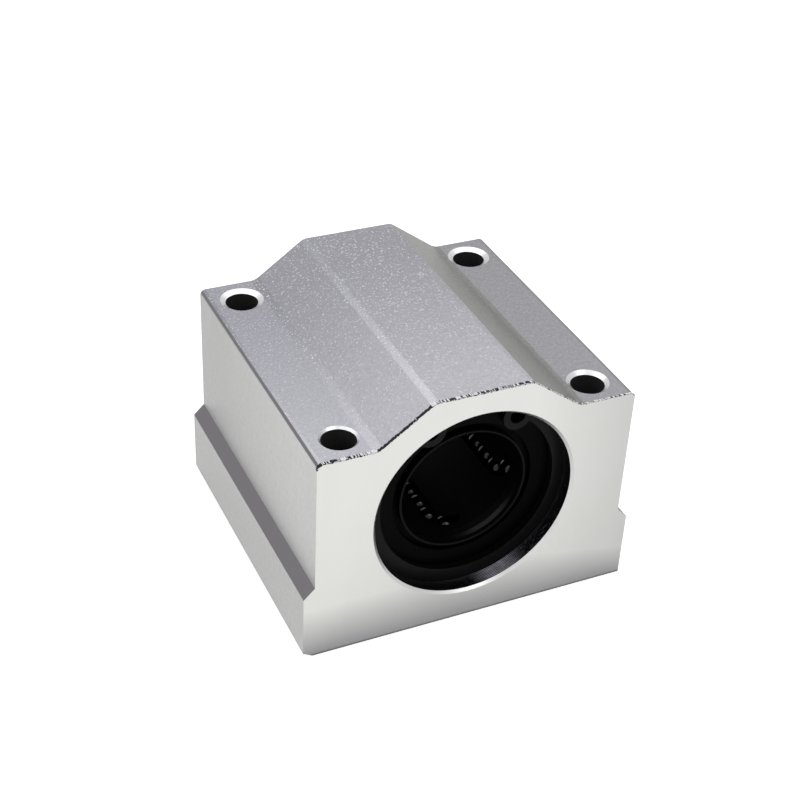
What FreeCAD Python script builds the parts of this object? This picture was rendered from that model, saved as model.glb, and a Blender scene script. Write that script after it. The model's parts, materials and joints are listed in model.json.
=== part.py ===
"""Linear bearing block for a round shaft, in millimetres.

An aluminium block, cut from an extruded profile, holds a closed ball bushing between two
internal circlips. The origin is the centre of the mounting face: +X runs across the block,
+Y along the shaft and +Z up. Front is the -Y end, rear is the +Y end.

Angles round the shaft are measured from +X towards +Z. Bushing pieces are drawn round the
Y axis and lifted to the shaft's height when they are written.
"""
import FreeCAD, Part
import math
import os

Vector = FreeCAD.Vector
ALONG_SHAFT = Vector(0, 1, 0)
ROUND_SHAFT = Vector(0, -1, 0)  # a turn about this axis goes from +X towards +Z
UP = Vector(0, 0, 1)
FRONT, REAR = -1, 1

# ---- ball circuits ---------------------------------------------------------------------
shaft_r = 10.0            # the shaft that the bushing runs on
ball_d = 3.175
ball_gap = 0.225          # between neighbouring balls of a circuit
circuits = 5
first_row_deg = 264.0     # angle of the first loaded row
turn_steps = 3            # ball pitches round each end turn
return_lift = 1.4         # how much further out the return row lies than the loaded row
race_clearance = 0.02     # loaded ball to raceway
track_clearance = 0.06    # ball to the cage's track
relief_clearance = 0.10   # return ball to the sleeve

# ---- sleeve ----------------------------------------------------------------------------
bushing_length = 42.0
snap_groove_span = 30.5   # over the outer edges of the two grooves round the outside
snap_groove_width = 1.6
snap_groove_depth = 0.75
sleeve_web = 0.575        # sleeve left between a snap groove and a return relief
sleeve_chamfer = 0.5
land_overlap = 1.0        # raceway land past the middle of a loaded row
relief_margin = 0.45      # relief past the side of a return row

# ---- cage, side rings and seals ----------------------------------------------------------
cage_shaft_gap = 0.5
cage_race_gap = 0.15
cage_end_wall = 0.5       # least cage left past an end turn
end_play = 0.05
fit_clearance = 0.02      # radial, every round seat
side_ring_thickness = 1.25
side_ring_shaft_gap = 0.45
seal_recess = 0.2         # seal face below the sleeve's end
seal_thickness = 2.1
seal_dish = 0.3           # how far the seal's face falls towards its groove
lip_width = 0.45          # the lip ring, at the front of the seal
lip_land = 0.6            # length of the lip that meets the shaft
lip_groove_width = 0.95
lip_groove_depth = 0.9
lip_round = 0.15

# ---- circlips --------------------------------------------------------------------------
circlip_thickness = 1.2
circlip_gap = 0.15        # ring to the bottom of its groove
circlip_wide = 2.95       # ring width opposite the lugs
circlip_narrow = 2.15     # ring width beside the lugs
lug_half_angle = 29.0     # from straight up to the middle of a lug
lug_reach = 4.7           # from the ring's outside to the lug's tip
lug_r = 2.35
lug_hole_r = 1.25
circlip_turn = 1.6        # degrees that a circlip sits off upright, clockwise from its own end

# ---- block -----------------------------------------------------------------------------
groove_depth = 0.85       # circlip groove
groove_width = 1.3
groove_land = 2.7         # bore left outside a circlip groove
mouth_chamfer = 0.4
floor_wall = 5.0          # under the bore
crown_wall = 4.0          # over the bore
hole_web = 1.4            # between the bore and a screw hole
hole_r = 2.6              # the screw holes' wall, right through
hole_chamfer = 0.5        # depth at both ends, and the width at the lower one
sink_front_left = 0.35    # width of the top chamfers, which are countersunk by hand
sink_front_right = 0.65
sink_rear = 0.85
hole_end = 5.0            # hole axis to the end of the block
hole_edge = 5.25          # hole axis to the block's flank
ledge = 1.75              # how far the foot stands out, with a slope of the same height
ledge_height = 11.25      # upright side of the foot
wing_drop = 6.0           # hump top down to the wings
hump_top = 15.4           # width of the hump's flat top
hump_foot = 4.0           # hump's foot to the hole axis
foot_fillet = 2.5         # where the hump meets the wings
crown_round = 2.0         # along the hump's flat top
wing_round = 0.9          # along the wings' outer edges
base_bevel_width = 1.5    # bevel along the left lower edge
base_bevel_height = 0.85

# ---- worked out ------------------------------------------------------------------------
ball_r = ball_d / 2
pitch = ball_d + ball_gap
turn_r = turn_steps * pitch / math.pi
turn_step_deg = 180.0 / turn_steps
track_r = ball_r + track_clearance
load_r = shaft_r + ball_r
return_r = load_r + return_lift
raceway_r = load_r + ball_r + race_clearance
relief_r = return_r + ball_r + relief_clearance
bore_r = relief_r + sleeve_web + snap_groove_depth
sleeve_r = bore_r - fit_clearance

bushing_half = bushing_length / 2
ring_depth = seal_recess + seal_thickness
seat_depth = ring_depth + side_ring_thickness
cage_half = bushing_half - seat_depth - end_play
turn_reach = turn_r + track_r + cage_end_wall
row_balls = int(2 * (cage_half - turn_reach) / pitch)
row_half = row_balls * pitch / 2

cage_inner_r = shaft_r + cage_shaft_gap
cage_outer_r = raceway_r - cage_race_gap
seat_r = relief_r - fit_clearance

block_half = bushing_half + groove_width + groove_land
bore_z = bore_r + floor_wall
top_z = bore_z + bore_r + crown_wall
wing_z = top_z - wing_drop
hole_x = bore_r + hole_web + hole_r
hole_y = block_half - hole_end
flank_x = hole_x + hole_edge
foot_x = flank_x + ledge

# A circuit is a flat loop. Seen along the shaft it is a chord from the loaded row to the
# return row: chord_out points along it, chord_up stands on it, away from the shaft.
row_apart_deg = math.degrees(math.acos(
    (load_r**2 + return_r**2 - (2 * turn_r) ** 2) / (2 * load_r * return_r)))
load_point = Vector(load_r, 0, 0)
return_point = Vector(math.cos(math.radians(row_apart_deg)), 0,
                      math.sin(math.radians(row_apart_deg))) * return_r
chord_out = (return_point - load_point).normalize()
chord_up = Vector(chord_out.z, 0, -chord_out.x)
chord_middle = (load_point + return_point) / 2


# ---- small tools -----------------------------------------------------------------------
def rounded_face(corners):
    """A face from corners (point, radius): straight sides with tangent arcs at the corners."""
    edges = []
    ends = []
    for i, (point, radius) in enumerate(corners):
        before = (corners[i - 1][0] - point).normalize()
        after = (corners[(i + 1) % len(corners)][0] - point).normalize()
        half_corner = before.getAngle(after) / 2
        if radius == 0:
            ends.append((point, point))
            continue
        along = radius / math.tan(half_corner)
        middle = (before + after).normalize()
        to_arc = radius / math.sin(half_corner) - radius
        start, end = point + before * along, point + after * along
        edges.append(Part.Arc(start, point + middle * to_arc, end).toShape())
        ends.append((start, end))
    for i, (start, _) in enumerate(ends):
        edges.append(Part.LineSegment(ends[i - 1][1], start).toShape())
    return Part.Face(Part.Wire(Part.__sortEdges__(edges)))


def sharp(*points):
    return [(point, 0) for point in points]


def turned(corners):
    """A ring from (radius, y, rounding) corners, turned round the shaft."""
    face = rounded_face([(Vector(r, y, 0), rounding) for r, y, rounding in corners])
    return face.revolve(Vector(0, 0, 0), ALONG_SHAFT, 360)


def tube(outer_r, inner_r, y_low, y_high):
    outside = Part.makeCylinder(outer_r, y_high - y_low, Vector(0, y_low, 0), ALONG_SHAFT)
    inside = Part.makeCylinder(inner_r, y_high - y_low, Vector(0, y_low, 0), ALONG_SHAFT)
    return outside.cut(inside)


def rod(r, y_low, y_high):
    return Part.makeCylinder(r, y_high - y_low, Vector(0, y_low, 0), ALONG_SHAFT)


def sector(r, start_deg, end_deg, y_low, y_high):
    """A slice of cake round the shaft, from one angle to another."""
    def on_rim(angle):
        return Vector(math.cos(math.radians(angle)), 0, math.sin(math.radians(angle))) * r

    start, end = on_rim(start_deg), on_rim(end_deg)
    rim = Part.Arc(start, on_rim((start_deg + end_deg) / 2), end).toShape()
    centre = Vector(0, 0, 0)
    sides = [Part.LineSegment(end, centre).toShape(), Part.LineSegment(centre, start).toShape()]
    face = Part.Face(Part.Wire([rim] + sides))
    face.translate(Vector(0, y_low, 0))
    return face.extrude(Vector(0, y_high - y_low, 0))


def at_circuit(shape, index):
    """Turn a shape drawn with its loaded row on +X to where circuit number index lies."""
    placed = shape.copy()
    angle = first_row_deg + index * 360.0 / circuits
    placed.rotate(Vector(0, 0, 0), ROUND_SHAFT, angle)
    return placed


def along_loop(out, y, up=0.0):
    """A point of the canonical circuit: out from the chord's middle, up from the chord."""
    return chord_middle + chord_out * out + chord_up * up + ALONG_SHAFT * y


# ---- ball bushing ----------------------------------------------------------------------
def outer_sleeve():
    """Hardened sleeve: raceway lands, return reliefs, a seat at each end, two snap grooves."""
    body = turned([
        (raceway_r, -bushing_half, 0),
        (sleeve_r - sleeve_chamfer, -bushing_half, 0),
        (sleeve_r, -bushing_half + sleeve_chamfer, 0),
        (sleeve_r, bushing_half - sleeve_chamfer, 0),
        (sleeve_r - sleeve_chamfer, bushing_half, 0),
        (raceway_r, bushing_half, 0),
    ])
    shoulder = bushing_half - seat_depth
    land_deg = math.degrees(land_overlap / raceway_r)
    side_deg = math.degrees(math.asin((ball_r + relief_margin) / return_r))
    relief = sector(relief_r, land_deg, row_apart_deg + side_deg, -shoulder, shoulder)
    body = body.cut([at_circuit(relief, i) for i in range(circuits)])
    for end in (FRONT, REAR):
        y_low, y_high = sorted((end * shoulder, end * bushing_half))
        body = body.cut(rod(relief_r, y_low, y_high))
        edge = end * snap_groove_span / 2
        y_low, y_high = sorted((edge, edge - end * snap_groove_width))
        body = body.cut(tube(bore_r, bore_r - snap_groove_depth, y_low, y_high))
    return body


def ball_track():
    """The loop that a circuit's balls run in: round at the bottom, open to the outside."""
    depth = cage_outer_r

    def section(side, y):
        middle = side * turn_r
        left = along_loop(middle - track_r, y)
        right = along_loop(middle + track_r, y)
        floor = Part.Arc(left, along_loop(middle, y, -track_r), right).toShape()
        top_left = along_loop(middle - track_r, y, depth)
        top_right = along_loop(middle + track_r, y, depth)
        walls = [Part.LineSegment(a, b).toShape()
                 for a, b in ((right, top_right), (top_right, top_left), (top_left, left))]
        return Part.Face(Part.Wire([floor] + walls))

    pieces = []
    for side in (-1, 1):
        pieces.append(section(side, -row_half).extrude(Vector(0, 2 * row_half, 0)))
        # The loaded row's section sweeps round the rear turn, the return row's round the front.
        y = -side * row_half
        pieces.append(section(side, y).revolve(along_loop(0, y), chord_up, 180))
    return pieces[0].multiFuse(pieces[1:]).removeSplitter()


def ball_cage():
    """Moulded retainer with one looped track for each circuit."""
    body = tube(cage_outer_r, cage_inner_r, -cage_half, cage_half)
    track = ball_track()
    return body.cut([at_circuit(track, i) for i in range(circuits)])


def ball(centre, index):
    return at_circuit(Part.makeSphere(ball_r, centre), index)


def row_of_balls(side, index):
    """One straight row: side -1 is the loaded row, side 1 the return row."""
    balls = [ball(along_loop(side * turn_r, side * (row_half - i * pitch)), index)
             for i in range(row_balls)]
    return Part.makeCompound(balls)


def turn_of_balls(end, index):
    """The balls round one end turn, each a step further along than the last."""
    balls = []
    for i in range(turn_steps):
        turned_by = math.radians(i * turn_step_deg)
        out = -end * turn_r * math.cos(turned_by)
        y = end * (row_half + turn_r * math.sin(turned_by))
        balls.append(ball(along_loop(out, y), index))
    return Part.makeCompound(balls)


def side_ring(end):
    """Ring that holds the cage in the sleeve, seated on the ends of the raceway lands."""
    y_low, y_high = sorted((end * (bushing_half - seat_depth), end * (bushing_half - ring_depth)))
    return tube(seat_r, shaft_r + side_ring_shaft_gap, y_low, y_high)


def seal(end):
    """Rubber seal: a dished face, a groove and a lip round the shaft."""
    face_y = end * (bushing_half - seal_recess)
    back_y = end * (bushing_half - ring_depth)
    lip_r = shaft_r + lip_width
    groove_r = lip_r + lip_groove_width
    dish_y = face_y - end * seal_dish
    floor_y = dish_y - end * lip_groove_depth
    return turned([
        (seat_r, face_y, 0),
        (groove_r, dish_y, lip_round),
        (groove_r, floor_y, 0),
        (lip_r, floor_y, 0),
        (lip_r, face_y, lip_round),
        (shaft_r, face_y, lip_round),
        (shaft_r, face_y - end * (lip_round + lip_land), 0),
        (lip_r, back_y, 0),
        (seat_r, back_y, 0),
    ])


# ---- circlips --------------------------------------------------------------------------
def circlip(end):
    """Internal circlip: a ring that tapers to two eyed lugs, with its gap at the top."""
    outer_r = bore_r + groove_depth - circlip_gap
    inner_r = outer_r - (circlip_wide + circlip_narrow) / 2
    off_centre = (circlip_wide - circlip_narrow) / 2
    thick = Vector(0, circlip_thickness, 0)
    disc = Part.makeCylinder(outer_r, circlip_thickness, Vector(0, 0, 0), ALONG_SHAFT)
    window = Part.makeCylinder(inner_r, circlip_thickness, UP * off_centre, ALONG_SHAFT)
    gap = sector(2 * outer_r, 90 - lug_half_angle, 90 + lug_half_angle, 0, circlip_thickness)
    ring = disc.cut([window, gap])

    eye = UP * (outer_r - lug_reach + lug_r)
    rim = Vector(lug_r, 0, 0)
    shank = rounded_face(sharp(eye - rim, eye + rim, rim + UP * outer_r, UP * outer_r - rim))
    lug = shank.extrude(thick).common(disc)
    lug = lug.fuse(Part.makeCylinder(lug_r, circlip_thickness, eye, ALONG_SHAFT))
    hole = Part.makeCylinder(lug_hole_r, circlip_thickness, eye, ALONG_SHAFT)
    for side in (-1, 1):
        turned_lug, turned_hole = lug.copy(), hole.copy()
        for piece in (turned_lug, turned_hole):
            piece.rotate(Vector(0, 0, 0), ROUND_SHAFT, side * lug_half_angle)
        ring = ring.fuse(turned_lug).cut(turned_hole)
    ring = ring.removeSplitter()
    ring.rotate(Vector(0, 0, 0), ROUND_SHAFT, circlip_turn if end == REAR else -circlip_turn)
    ring.translate(Vector(0, bushing_half if end == REAR else -bushing_half - circlip_thickness, 0))
    return ring


# ---- block -----------------------------------------------------------------------------
def block_outline():
    """The extruded profile at the front end, from the lower left corner up and round."""
    hump_x = hole_x - hump_foot

    def corner(x, z, radius=0.0):
        return (Vector(x, -block_half, z), radius)

    slope_z = ledge_height + ledge
    right = [
        corner(foot_x, 0),
        corner(foot_x, ledge_height),
        corner(flank_x, slope_z),
        corner(flank_x, wing_z, wing_round),
        corner(hump_x, wing_z, foot_fillet),
        corner(hump_top / 2, top_z, crown_round),
    ]
    left = [corner(-point.x, point.z, radius) for point, radius in reversed(right[1:])]
    bevel = [corner(-foot_x, base_bevel_height), corner(-foot_x + base_bevel_width, 0)]
    return right + left + bevel


def screw_hole(x, y, sink):
    """A through hole; its top chamfer, of width sink, runs a little into the hump's foot."""
    depth = min(sink, hole_chamfer)
    past = 1.5
    wall = Part.makeCylinder(hole_r, wing_z, Vector(x, y, 0))
    top = Part.makeCone(hole_r, hole_r + past * sink, past * depth,
                        Vector(x, y, wing_z - depth))
    bottom = Part.makeCone(hole_r + hole_chamfer, hole_r, hole_chamfer, Vector(x, y, 0))
    return wall.multiFuse([top, bottom])


def bore():
    """The bushing's bore, with its mouths and the two circlip grooves, along the Y axis."""
    mouth_r = bore_r + mouth_chamfer
    groove_r = bore_r + groove_depth
    corners = [(0, -block_half), (mouth_r, -block_half), (bore_r, -block_half + mouth_chamfer)]
    for y in (-bushing_half - groove_width, bushing_half):
        corners += [(bore_r, y), (groove_r, y), (groove_r, y + groove_width),
                    (bore_r, y + groove_width)]
    corners += [(bore_r, block_half - mouth_chamfer), (mouth_r, block_half), (0, block_half)]
    return turned([(r, y, 0) for r, y in corners])


def housing():
    """The block: extruded profile, bored, grooved and drilled."""
    body = rounded_face(block_outline()).extrude(Vector(0, 2 * block_half, 0))
    opening = bore()
    opening.translate(UP * bore_z)
    holes = [
        screw_hole(-hole_x, -hole_y, sink_front_left),
        screw_hole(hole_x, -hole_y, sink_front_right),
        screw_hole(-hole_x, hole_y, sink_rear),
        screw_hole(hole_x, hole_y, sink_rear),
    ]
    return body.cut([opening] + holes)


# ---- writing ---------------------------------------------------------------------------
def bushing_pieces():
    """Every piece that lies round the shaft, by name."""
    pieces = {"outer_sleeve": outer_sleeve(), "ball_cage": ball_cage()}
    for name, end in (("front", FRONT), ("rear", REAR)):
        pieces[name + "_side_ring"] = side_ring(end)
        pieces[name + "_seal"] = seal(end)
        pieces[name + "_circlip"] = circlip(end)
    for index in range(circuits):
        number = str(index + 1)
        pieces["load_balls_" + number] = row_of_balls(-1, index)
        pieces["rear_turn_balls_" + number] = turn_of_balls(REAR, index)
        pieces["return_balls_" + number] = row_of_balls(1, index)
        pieces["front_turn_balls_" + number] = turn_of_balls(FRONT, index)
    return pieces


def main():
    os.makedirs("parts", exist_ok=True)
    pieces = bushing_pieces()
    for piece in pieces.values():
        piece.translate(UP * bore_z)
    pieces["housing"] = housing()
    for name, piece in pieces.items():
        piece.exportStep("parts/" + name + ".step")


main()
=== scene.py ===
import json
import math
import random

import bpy
from mathutils import Matrix, Vector


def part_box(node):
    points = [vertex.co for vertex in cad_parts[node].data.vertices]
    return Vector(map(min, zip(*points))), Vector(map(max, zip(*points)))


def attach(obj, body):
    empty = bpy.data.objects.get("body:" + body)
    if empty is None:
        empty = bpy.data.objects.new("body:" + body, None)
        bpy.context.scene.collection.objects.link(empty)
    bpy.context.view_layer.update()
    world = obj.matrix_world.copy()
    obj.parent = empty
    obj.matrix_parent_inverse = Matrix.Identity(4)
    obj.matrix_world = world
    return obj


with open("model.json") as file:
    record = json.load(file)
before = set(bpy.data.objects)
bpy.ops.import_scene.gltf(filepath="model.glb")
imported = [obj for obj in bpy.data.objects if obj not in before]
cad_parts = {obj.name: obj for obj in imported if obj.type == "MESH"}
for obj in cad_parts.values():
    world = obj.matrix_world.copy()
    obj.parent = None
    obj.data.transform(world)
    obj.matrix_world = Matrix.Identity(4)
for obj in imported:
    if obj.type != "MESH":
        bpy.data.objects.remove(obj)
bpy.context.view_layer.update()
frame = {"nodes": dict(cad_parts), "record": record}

# ---------------------------------------------------------------- sizes, in metres

MM = 0.001
mounts = {mount["name"]: mount for mount in frame["record"]["mounts"]}
bore_z = mounts["shaft_bore"]["pos_m"][2]
shaft_radius = mounts["shaft_bore"]["dims"]["r_mm"] * MM
hole_radius = mounts["mounting_holes"]["dims"]["hole_r_mm"] * MM
hole_x = 0.5 * mounts["mounting_holes"]["dims"]["spacing_x_mm"] * MM
hole_y = 0.5 * mounts["mounting_holes"]["dims"]["spacing_y_mm"] * MM
wing_z = mounts["mounting_holes"]["pos_m"][2]

half_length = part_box("housing")[1].y
bushing_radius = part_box("outer_sleeve")[1].x
ledge_low_z = 11.25 * MM   # the slope on the flank, from its lower edge
ledge_high_z = 13.0 * MM   # to its upper edge
flank_x = 25.25 * MM       # the flanks over that slope
wing_round = 0.9 * MM      # rounding along the wings' outer edges
crown_x = 8.0 * MM         # the hump's right slope begins here
close = 0.01 * MM          # nearer than this counts as touching


# ---------------------------------------------------------------- shader helpers

class Finish:
    """A material, with short calls for the nodes that the finishes share."""

    def __init__(self, name):
        self.material = bpy.data.materials.new(name)
        self.material.use_nodes = True
        self.nodes = self.material.node_tree.nodes
        self.links = self.material.node_tree.links
        self.shader = self.nodes["Principled BSDF"]
        self.places = self.nodes.new("ShaderNodeTexCoord").outputs["Object"]

    def put(self, socket, value):
        """Links an output to a socket, or sets the socket's own value."""
        if isinstance(value, bpy.types.NodeSocket):
            self.links.new(value, socket)
        else:
            socket.default_value = value

    def set(self, **values):
        """Sets the shader's sockets: base_color stands for Base Color."""
        for name, value in values.items():
            self.put(self.shader.inputs[name.replace("_", " ").title().replace("Ior", "IOR")], value)

    def stretched(self, x, y, z):
        """The place in millimetres, with each axis scaled."""
        mapping = self.nodes.new("ShaderNodeMapping")
        mapping.inputs["Scale"].default_value = (x / MM, y / MM, z / MM)
        self.links.new(self.places, mapping.inputs["Vector"])
        return mapping.outputs["Vector"]

    def noise(self, per_mm, detail=2.0, stretch=(1.0, 1.0, 1.0)):
        """Noise with about per_mm grains in a millimetre, from 0 to 1."""
        node = self.nodes.new("ShaderNodeTexNoise")
        node.inputs["Scale"].default_value = per_mm
        node.inputs["Detail"].default_value = detail
        self.links.new(self.stretched(*stretch), node.inputs["Vector"])
        return node.outputs["Fac"]

    def remap(self, value, low, high, to_low=0.0, to_high=1.0):
        """value from low..high to to_low..to_high, clamped."""
        node = self.nodes.new("ShaderNodeMapRange")
        self.put(node.inputs["Value"], value)
        node.inputs["From Min"].default_value = low
        node.inputs["From Max"].default_value = high
        node.inputs["To Min"].default_value = to_low
        node.inputs["To Max"].default_value = to_high
        return node.outputs["Result"]

    def calc(self, operation, first, second=0.0):
        """One step of arithmetic on outputs or numbers."""
        node = self.nodes.new("ShaderNodeMath")
        node.operation = operation
        self.put(node.inputs[0], first)
        self.put(node.inputs[1], second)
        return node.outputs[0]

    def mix(self, amount, first, second):
        """The colour first where amount is 0, and second where it is 1."""
        node = self.nodes.new("ShaderNodeMix")
        node.data_type = "RGBA"
        self.put(node.inputs["Factor"], amount)
        self.put(node.inputs["A"], first)
        self.put(node.inputs["B"], second)
        return node.outputs["Result"]

    def axes(self):
        """The place in millimetres, as separate X, Y and Z."""
        node = self.nodes.new("ShaderNodeSeparateXYZ")
        self.links.new(self.stretched(1.0, 1.0, 1.0), node.inputs["Vector"])
        return node.outputs["X"], node.outputs["Y"], node.outputs["Z"]

    def bump(self, height, depth_mm, strength=1.0):
        """Height from 0 to 1 as a relief of that depth."""
        node = self.nodes.new("ShaderNodeBump")
        node.inputs["Strength"].default_value = strength
        node.inputs["Distance"].default_value = depth_mm * MM
        self.put(node.inputs["Height"], height)
        self.links.new(node.outputs["Normal"], self.shader.inputs["Normal"])


def grey(level, blue=0.0):
    """An opaque grey of that level, a little bluer or yellower."""
    return (level - 0.3 * blue, level - 0.4 * blue, level + blue, 1.0)


# ---------------------------------------------------------------- finishes

def blasted_aluminium(name, level, blue, sparkle, painted_rear_shade=0.0):
    """Bead-blasted and anodised extrusion with bright grains, partly a real relief and partly
    painted glints, and painted shade towards the rear end.
    """
    spread = 0.02          # how far the patches are from the mean level
    # colours of the painted shade at the rear end and of the painted glints on the bright grains
    painted_shade_level = 0.17
    painted_glint_level = 1.5 * level
    finish = Finish(name)
    grains = finish.noise(3.2, 2.0)
    bright = finish.remap(finish.noise(3.4, 1.0), 0.61, 0.70)
    patches = finish.remap(finish.noise(1.6, 4.0), 0.35, 0.65)
    body = finish.mix(patches, grey(level - spread, blue), grey(level + spread, blue))
    along = finish.axes()[1]
    # painted shade: the colour darkens towards the rear end
    painted_rear_amount = finish.remap(along, -20.0, 15.0, 0.0, painted_rear_shade)
    body = finish.mix(painted_rear_amount, body, grey(painted_shade_level, blue))
    # painted glints: the bright grains get a lighter colour; their relief below is real
    painted_glint_amount = finish.calc("MULTIPLY", bright, sparkle)
    finish.set(
        metallic=1.0, base_color=finish.mix(painted_glint_amount, body, grey(painted_glint_level)), roughness=0.44)
    relief = finish.calc("ADD", finish.calc("MULTIPLY", grains, 0.4), bright)
    finish.bump(relief, 0.055 * sparkle)
    return finish.material


def machined_aluminium(name):
    """Milled end face with faint wipe marks and specks, with painted shade at its base and its right
    side and a painted shadow along its bottom edge.
    """
    # colours of the painted shade, the real specks and the painted shadow at the bottom edge
    shade = grey(0.11, 0.012)
    speck = grey(0.30)
    painted_contact_shadow = grey(0.06, -0.01)
    finish = Finish(name)
    wipes = finish.remap(finish.noise(0.16, 3.0, (1.0, 1.0, 0.35)), 0.35, 0.65)
    specks = finish.calc("MULTIPLY", finish.remap(finish.noise(2.4, 1.0), 0.72, 0.78), 0.25)
    body = finish.mix(wipes, grey(0.578, -0.017), grey(0.592, -0.013))
    across, _, height = finish.axes()
    # painted shade: darker towards the base and towards the right side
    low = finish.remap(height, 0.0, 9.0, 0.72, 0.0)
    side = finish.remap(across, 8.0, 27.0, 0.0, 0.30)
    # painted shadow: a thin ragged dark band along the bottom edge
    ragged = finish.calc("ADD", height, finish.calc("MULTIPLY", finish.noise(1.5), 0.2))
    edge = finish.remap(ragged, 0.30, 0.48, 0.75, 0.0)
    speckled = finish.mix(specks, body, speck)
    shaded = finish.mix(finish.calc("MAXIMUM", low, side), speckled, shade)
    finish.set(metallic=1.0, base_color=finish.mix(edge, shaded, painted_contact_shadow), roughness=0.25)
    return finish.material


def plain_metal(name, color, roughness, metallic=1.0):
    """Metal of one even colour."""
    finish = Finish(name)
    finish.set(metallic=metallic, base_color=color, roughness=roughness)
    return finish.material


def turned_metal(name, color, painted_highlight_colour, roughness, pitch_mm, depth_mm):
    """Fine rings round the bore axis, left by the turning tool, with a painted highlight in a patch
    low down.
    """
    finish = Finish(name)
    across, along, _ = finish.axes()
    # painted highlight: a patch low on the wall where the rings are lit
    highlight_patch_left = finish.remap(across, 1.0, 4.5)
    highlight_patch_right = finish.remap(across, 6.5, 10.0, 1.0, 0.0)
    highlight_patch = finish.calc("MULTIPLY", highlight_patch_left, highlight_patch_right)
    uneven = finish.remap(finish.noise(1.2, 2.0, (1.0, 3.0, 1.0)), 0.3, 0.7)
    wave = finish.calc("SINE", finish.calc("MULTIPLY", along, 2.0 * math.pi / pitch_mm))
    rings = finish.remap(finish.calc("ADD", wave, uneven), -1.0, 2.0)
    lit = finish.calc("MULTIPLY", highlight_patch, finish.remap(rings, 0.2, 0.7))
    # painted highlight: the lit patch turns from metal to a light plain colour
    finish.set(
        metallic=finish.remap(lit, 0.0, 0.6, 1.0, 0.0),
        base_color=finish.mix(lit, color, painted_highlight_colour), roughness=roughness)
    finish.bump(rings, depth_mm)
    return finish.material


def dull_black(name, level, roughness, specular):
    """Black rubber, resin or phosphated steel, and the painted shade on the tapped holes' walls."""
    spread = 0.05          # how far the roughness is from its mean
    finish = Finish(name)
    uneven = finish.remap(
        finish.noise(1.5, 3.0), 0.3, 0.7, roughness - spread, roughness + spread)
    finish.set(base_color=grey(level), roughness=uneven, specular_ior_level=specular)
    finish.bump(finish.noise(4.0, 2.0), 0.004, 0.5)
    return finish.material


# Under white all round each face shows little more than its own level, so the copies below differ in
# level to paint the light and shade each face gets.
skin = blasted_aluminium(
    "blasted_aluminium", level=0.352, blue=0.020, sparkle=1.0, painted_rear_shade=0.48)
# painted light: a lighter, slightly bluer copy of the finish for the left wing
lit_wing_skin = blasted_aluminium(
    "wing_aluminium", level=0.368, blue=0.024, sparkle=1.0, painted_rear_shade=0.42)
# painted highlight along the left roundings at the hump's foot and crown, with painted shade towards
# the rear
lit_and_shaded_foot_skin = blasted_aluminium(
    "lit_and_shaded_foot_aluminium", level=0.385, blue=0.020, sparkle=1.0, painted_rear_shade=0.70)
lit_crown_skin = blasted_aluminium(
    "lit_crown_aluminium", level=0.420, blue=0.020, sparkle=1.0, painted_rear_shade=0.55)
# painted shade: darker copies for the hump's right slope and the right wing
shaded_right_skin = blasted_aluminium("shaded_right_aluminium", level=0.195, blue=-0.006, sparkle=0.6)
shaded_right_wing_skin = blasted_aluminium("shaded_right_wing_aluminium", level=0.248, blue=0.010, sparkle=0.6)
# the flanks have a finer blast; painted light above the ledge and painted shade below it
lit_flank_skin = blasted_aluminium(
    "lit_flank_aluminium", level=0.437, blue=-0.002, sparkle=0.1, painted_rear_shade=0.36)
shaded_base_skin = blasted_aluminium(
    "shaded_base_aluminium", level=0.370, blue=-0.002, sparkle=0.1, painted_rear_shade=0.10)
ledge_skin = plain_metal("ledge_aluminium", (0.155, 0.148, 0.158, 1.0), 0.45)
end_face = machined_aluminium("machined_end")
hole_chamfer = plain_metal("hole_chamfer", grey(0.58, 0.01), 0.34)
# painted shade: the wall's dark colour stands for the shade deep in the bore; its light patch is a
# painted highlight
bore_wall = turned_metal(
    "turned_bore", color=grey(0.13, 0.012), painted_highlight_colour=grey(0.60, 0.06), roughness=0.18,
    pitch_mm=0.28, depth_mm=0.045)
bore_mouth = plain_metal("bore_mouth", grey(0.55), 0.35)
# painted shade: the tapped holes' walls are near black
shaded_hole_wall = dull_black("shaded_tapped_hole", 0.030, 0.6, 0.1)
# painted shade: the steel balls, sleeve and side rings are near black for the shade inside the bore
shaded_ball_steel = plain_metal("shaded_ball_steel", grey(0.022), 0.13)
shaded_sleeve_steel = plain_metal("shaded_sleeve_steel", grey(0.10), 0.30)
shaded_ring_steel = plain_metal("shaded_ring_steel", grey(0.02), 0.40)
resin = dull_black("black_resin", 0.003, 0.40, 0.04)
rubber = dull_black("black_rubber", 0.0015, 0.45, 0.02)
lip_rubber = dull_black("lip_rubber", 0.003, 0.32, 0.05)
phosphate = dull_black("black_spring_steel", 0.003, 0.36, 0.08)


# ---------------------------------------------------------------- the solids' finishes

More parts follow.
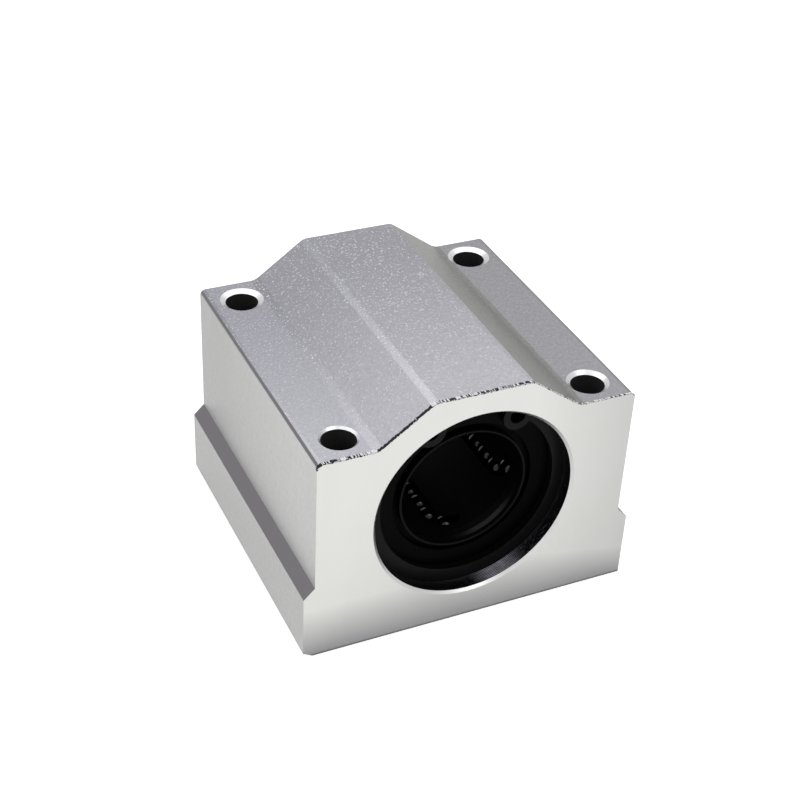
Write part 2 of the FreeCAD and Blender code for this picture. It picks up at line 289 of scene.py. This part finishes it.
def housing_finish(place, normal):
    """Which finish a face of the housing has, from where it is and which way it looks."""
    chamfer_reach = 1.0 * MM   # past a hole's wall, with its widest chamfer
    mouth_reach = 0.6 * MM     # past the bore's wall, with the chamfer at its mouth
    from_axis = math.hypot(place.x, place.z - bore_z)
    from_hole = math.hypot(abs(place.x) - hole_x, abs(place.y) - hole_y)
    sideways = abs(normal.x)
    rounding = 0.05 < sideways < 0.55
    if from_hole < hole_radius + chamfer_reach and close < place.z < wing_z - close:
        return hole_chamfer if 0.3 < abs(normal.z) < 0.98 else shaded_hole_wall
    if from_axis < bushing_radius + mouth_reach and abs(place.y) < half_length - close:
        return bore_mouth if abs(normal.y) > 0.5 else bore_wall
    if abs(normal.y) > 0.99:
        return end_face
    if abs(place.x) > flank_x + 5.0 * close and ledge_low_z < place.z < ledge_high_z:
        return ledge_skin
    # painted shade: the outer part of each wing's rounding takes the dark ledge finish
    if place.z > wing_z - wing_round and 0.5 < sideways < 0.9 and abs(place.x) > hole_x:
        return ledge_skin
    # painted shade on the flank below the ledge
    if sideways > 0.9:
        return lit_flank_skin if place.z > ledge_low_z else shaded_base_skin
    # painted shade on the right wing, painted light on the left wing
    if place.z < wing_z + close and sideways < 0.05:
        return shaded_right_wing_skin if place.x > 0.0 else lit_wing_skin
    # painted shade on the hump's right slope
    if place.x > crown_x:
        return shaded_right_skin
    # painted highlight lines on the hump's left roundings
    if rounding and place.x < 0.0:
        return lit_and_shaded_foot_skin if place.z < wing_z + MM else lit_crown_skin
    return skin


def seal_finish(place, normal):
    """The lip ring is polished by the shaft."""
    lip_reach = 0.5 * MM
    from_axis = math.hypot(place.x, place.z - bore_z)
    return lip_rubber if from_axis < shaft_radius + lip_reach else rubber


def paint(node, choose):
    """Gives each face of a solid its finish."""
    mesh = node.data
    mesh.materials.clear()
    order = []
    for face in mesh.polygons:
        material = choose(face.center, face.normal)
        if material not in order:
            order.append(material)
            mesh.materials.append(material)
        face.material_index = order.index(material)
        face.use_smooth = True


finishes = {
    "outer_sleeve": shaded_sleeve_steel, "ball_cage": resin, "side_ring": shaded_ring_steel,
    "circlip": phosphate, "balls": shaded_ball_steel,
}
for name, node in frame["nodes"].items():
    if name == "housing":
        paint(node, housing_finish)
    elif "seal" in name:
        paint(node, seal_finish)
    else:
        kind = next(word for word in finishes if word in name)
        paint(node, lambda place, normal, material=finishes[kind]: material)


# ---------------------------------------------------------------- burr along the sawn front edge

# painted shade and painted glints on the burr's torn faces
burr_painted_shade = plain_metal("burr_painted_shade", (0.022, 0.016, 0.027, 1.0), 0.5)
burr_painted_glint = plain_metal("burr_painted_glint", grey(0.90, 0.03), 0.5, metallic=0.0)


def top_outline():
    """The block's outline over the wings and the hump, at the front end, from left to right."""
    lowest = wing_z - wing_round - 5.0 * close
    bore_reach = bushing_radius + MM
    points = set()
    for vertex in frame["nodes"]["housing"].data.vertices:
        x, y, z = vertex.co
        on_end = abs(y + half_length) < 0.1 * close
        off_bore = math.hypot(x, z - bore_z) > bore_reach
        if on_end and off_bore and z > lowest:
            points.add((round(x, 7), round(z, 7)))
    return [Vector((x, 0.0, z)) for x, z in sorted(points)]


def walk(points, step):
    """Even steps along a line of points: the place and the direction at each."""
    for start, end in zip(points, points[1:]):
        count = max(1, round((end - start).length / step))
        for i in range(count):
            yield start.lerp(end, i / count), (end - start).normalized()


def burr(draw):
    """A torn thin edge: its width and its share of faces with painted shade, the rest with painted
    glints, differ from face to face.
    """
    stretches = (  # right end of the stretch in mm, share of dark, width in mm, lift in mm
        (-24.6, 0.90, 0.60, 0.08),  # left corner
        (-17.2, 0.42, 0.70, 0.08),  # left wing
        (-16.3, 0.05, 0.90, 0.09),  # the hump's left foot
        (-8.3, 0.98, 0.55, 0.08),   # left slope
        (-7.6, 0.05, 0.90, 0.07),   # left end of the flat top
        (7.9, 0.50, 0.65, 0.06),    # flat top
        (16.0, 0.25, 0.45, 0.08),   # right slope
        (30.0, 0.42, 0.40, 0.05),   # right wing
    )
    step = 0.10 * MM
    turn = 0.75                     # how often a fleck ends at the next step
    seat = 0.004 * MM               # the inner edge, over the skin
    crest_out = 0.015 * MM          # the crest, before the end face
    foot_out = 0.008 * MM           # the outer edge, before the end face
    front = -half_length
    verts, faces, darks = [], [], []
    inner_dark, outer_dark = True, True
    for place, along in walk(top_outline(), step):
        _, share, width, lift = next(s for s in stretches if place.x < s[0] * MM)
        if draw.random() < turn:
            inner_dark = draw.random() < share
        if draw.random() < turn:
            outer_dark = draw.random() < share
        outward = Vector((-along.z, 0.0, along.x))
        inner = width * draw.uniform(0.6, 1.0) * MM
        crest = lift * draw.uniform(0.2, 1.0) * MM
        drop = 0.35 * width * draw.uniform(0.3, 1.0) * MM
        verts += [
            place + Vector((0.0, front + inner, 0.0)) + seat * outward,
            place + Vector((0.0, front - crest_out, 0.0)) + crest * outward,
            place + Vector((0.0, front - foot_out, 0.0)) - drop * outward,
        ]
        darks += [inner_dark, outer_dark]
    for i in range(len(verts) // 3 - 1):
        a, b = 3 * i, 3 * i + 3
        faces += [(a, b, b + 1, a + 1), (a + 1, b + 1, b + 2, a + 2)]
    mesh = bpy.data.meshes.new("front_edge_burr")
    mesh.from_pydata(verts, [], faces)
    mesh.materials.append(burr_painted_shade)
    mesh.materials.append(burr_painted_glint)
    for i, face in enumerate(mesh.polygons):
        face.material_index = 0 if darks[i] else 1
    piece = bpy.data.objects.new("front_edge_burr", mesh)
    bpy.context.scene.collection.objects.link(piece)
    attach(piece, "block")


burr(random.Random(7))


# ---------------------------------------------------------------- stage, light and camera

def seen(nodes, links):
    """1 for the rays of the camera and for those that metal and glass send out, otherwise 0."""
    rays = nodes.new("ShaderNodeLightPath").outputs
    total = rays["Is Camera Ray"]
    for kind in ("Is Glossy Ray", "Is Transmission Ray"):
        both = nodes.new("ShaderNodeMath")
        both.operation = "ADD"
        links.new(total, both.inputs[0])
        links.new(rays[kind], both.inputs[1])
        total = both.outputs[0]
    return total


def floor_finish():
    """White to the camera and in the metal, and it keeps the object's shadow."""
    near, far = 150.0, 600.0  # mm from the middle: the lamps light the floor less and less
    near_glow, far_glow = 0.70, 1.0
    finish = Finish("floor")
    finish.set(base_color=grey(0.86), roughness=1.0, specular_ior_level=0.0)
    glow = finish.nodes.new("ShaderNodeEmission")
    both = finish.nodes.new("ShaderNodeAddShader")
    across, along, _ = finish.axes()
    squares = finish.calc(
        "ADD", finish.calc("MULTIPLY", across, across), finish.calc("MULTIPLY", along, along))
    level = finish.remap(finish.calc("SQRT", squares), near, far, near_glow, far_glow)
    white = seen(finish.nodes, finish.links)
    finish.put(glow.inputs["Strength"], finish.calc("MULTIPLY", white, level))
    finish.links.new(finish.shader.outputs["BSDF"], both.inputs[0])
    finish.links.new(glow.outputs["Emission"], both.inputs[1])
    finish.links.new(both.outputs["Shader"], finish.nodes["Material Output"].inputs["Surface"])
    return finish.material


def softbox(name, place, aim, width, height, power):
    """A rectangular lamp at place that looks at aim."""
    lamp = bpy.data.lights.new(name, "AREA")
    lamp.shape = "RECTANGLE"
    lamp.size = width
    lamp.size_y = height
    lamp.energy = power
    holder = bpy.data.objects.new(name, lamp)
    holder.location = place
    holder.rotation_euler = (Vector(aim) - Vector(place)).to_track_quat("-Z", "Y").to_euler()
    bpy.context.scene.collection.objects.link(holder)


def sky():
    """White to the camera and in the metal, and a soft even grey as a light."""
    light_level = 0.117
    world = bpy.data.worlds.new("studio")
    bpy.context.scene.world = world
    world.use_nodes = True
    nodes, links = world.node_tree.nodes, world.node_tree.links
    level = nodes.new("ShaderNodeMapRange")
    level.inputs["To Min"].default_value = light_level
    level.inputs["To Max"].default_value = 1.0
    nodes["Background"].inputs["Color"].default_value = (1.0, 1.0, 1.0, 1.0)
    links.new(seen(nodes, links), level.inputs["Value"])
    links.new(level.outputs["Result"], nodes["Background"].inputs["Strength"])


floor_reach = 3.0
corners = [
    (x * floor_reach, y * floor_reach, 0.0) for x, y in ((-1, -1), (1, -1), (1, 1), (-1, 1))]
floor_mesh = bpy.data.meshes.new("floor")
floor_mesh.from_pydata(corners, [], [(0, 1, 2, 3)])
floor_mesh.materials.append(floor_finish())
floor = bpy.data.objects.new("floor", floor_mesh)
bpy.context.scene.collection.objects.link(floor)

# Place and size in metres, power in watts.
middle = Vector((0.0, 0.0, bore_z))
softbox("behind", (0.0, 0.20, 0.62), middle, 1.2, 0.5, 2.60)
softbox("front", (0.16, -0.28, 0.42), middle, 0.25, 0.25, 0.50)
softbox("left", (-0.50, 0.25, 0.55), middle, 0.50, 0.50, 0.50)
softbox("side", (-0.22, -0.16, 0.20), middle, 0.25, 0.25, 0.13)
softbox("top", (-0.17, -0.22, 0.55), middle, 0.10, 0.10, 0.10)
sky()

azimuth, elevation, roll = (math.radians(angle) for angle in (-25.925, 34.402, 2.928))
distance = 253.53 * MM
aim_height = 20.0 * MM
aim_left = 0.815 * MM
aim_up = 3.045 * MM
flat = math.cos(elevation)
back = Vector((math.sin(azimuth) * flat, -math.cos(azimuth) * flat, math.sin(elevation)))
level_right = Vector((math.cos(azimuth), math.sin(azimuth), 0.0))
level_up = back.cross(level_right)
right = level_right * math.cos(roll) + level_up * math.sin(roll)
up = level_up * math.cos(roll) - level_right * math.sin(roll)
target = Vector((0.0, 0.0, aim_height)) - aim_left * right + aim_up * up
lens = bpy.data.cameras.new("camera")
lens.lens = 71.98
lens.sensor_width = 36.0
lens.clip_start = 0.01
camera = bpy.data.objects.new("camera", lens)
turned = Matrix((right, up, back)).transposed().to_4x4()
camera.matrix_world = Matrix.Translation(target + distance * back) @ turned
bpy.context.scene.collection.objects.link(camera)
bpy.context.scene.camera = camera
bpy.context.scene.view_settings.view_transform = "Standard"
